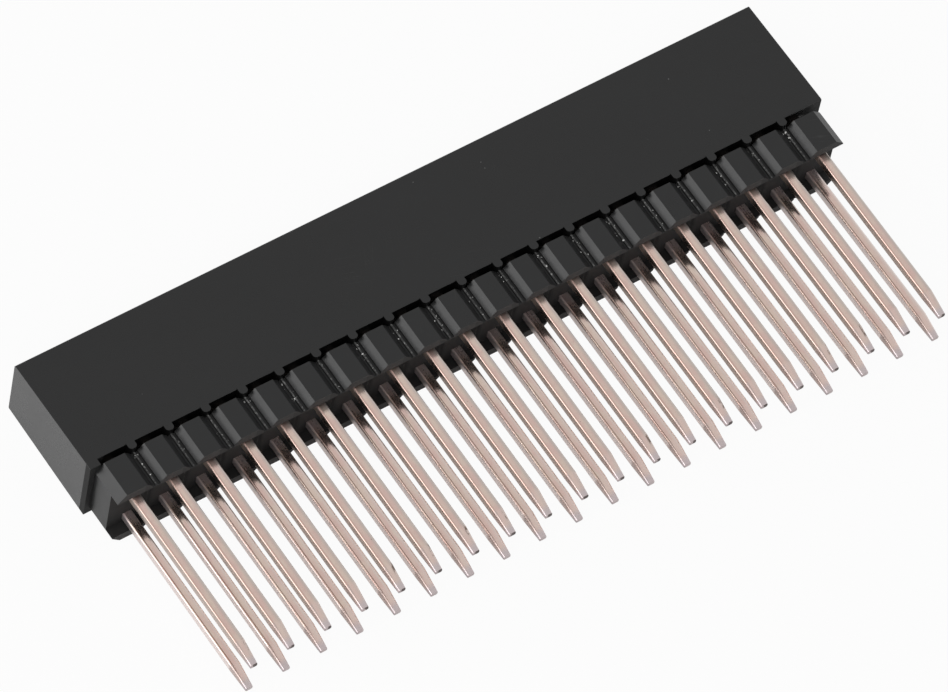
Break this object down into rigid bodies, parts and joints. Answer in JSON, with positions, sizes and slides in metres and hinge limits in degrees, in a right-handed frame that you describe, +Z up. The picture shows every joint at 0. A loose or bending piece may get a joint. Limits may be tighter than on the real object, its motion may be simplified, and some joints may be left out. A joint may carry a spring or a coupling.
{
  "type": "double-row stacking pin socket",
  "caption": "Double-row stacking header: black socket housing and notched spacer strip on long square tails, 2.54 mm grid.",
  "frame": {"origin": "centre of the bounding box on the ground, under the middle of the part, which lies on one broad side", "axes": "+X along the row of contacts, +Y out of the socket mouth (the tails point to -Y), +Z up across the two rows"},
  "size_m": [0.0516, 0.0232, 0.005],
  "materials": {
    "housing_plastic": "satin moulded black thermoplastic",
    "spacer_plastic": "satin moulded black thermoplastic",
    "contact_metal": "pale plated copper alloy, satin"
  },
  "bodies": {
    "root": {"socket_housing": "housing_plastic", "spacer_strip": "spacer_plastic", "contact_lower_01": "contact_metal", "contact_lower_02": "contact_metal", "contact_lower_03": "contact_metal", "contact_lower_04": "contact_metal", "contact_lower_05": "contact_metal", "contact_lower_06": "contact_metal", "contact_lower_07": "contact_metal", "contact_lower_08": "contact_metal", "contact_lower_09": "contact_metal", "contact_lower_10": "contact_metal", "contact_lower_11": "contact_metal", "contact_lower_12": "contact_metal", "contact_lower_13": "contact_metal", "contact_lower_14": "contact_metal", "contact_lower_15": "contact_metal", "contact_lower_16": "contact_metal", "contact_lower_17": "contact_metal", "contact_lower_18": "contact_metal", "contact_lower_19": "contact_metal", "contact_lower_20": "contact_metal", "contact_upper_01": "contact_metal", "contact_upper_02": "contact_metal", "contact_upper_03": "contact_metal", "contact_upper_04": "contact_metal", "contact_upper_05": "contact_metal", "contact_upper_06": "contact_metal", "contact_upper_07": "contact_metal", "contact_upper_08": "contact_metal", "contact_upper_09": "contact_metal", "contact_upper_10": "contact_metal", "contact_upper_11": "contact_metal", "contact_upper_12": "contact_metal", "contact_upper_13": "contact_metal", "contact_upper_14": "contact_metal", "contact_upper_15": "contact_metal", "contact_upper_16": "contact_metal", "contact_upper_17": "contact_metal", "contact_upper_18": "contact_metal", "contact_upper_19": "contact_metal", "contact_upper_20": "contact_metal"}
  },
  "joints": []
}
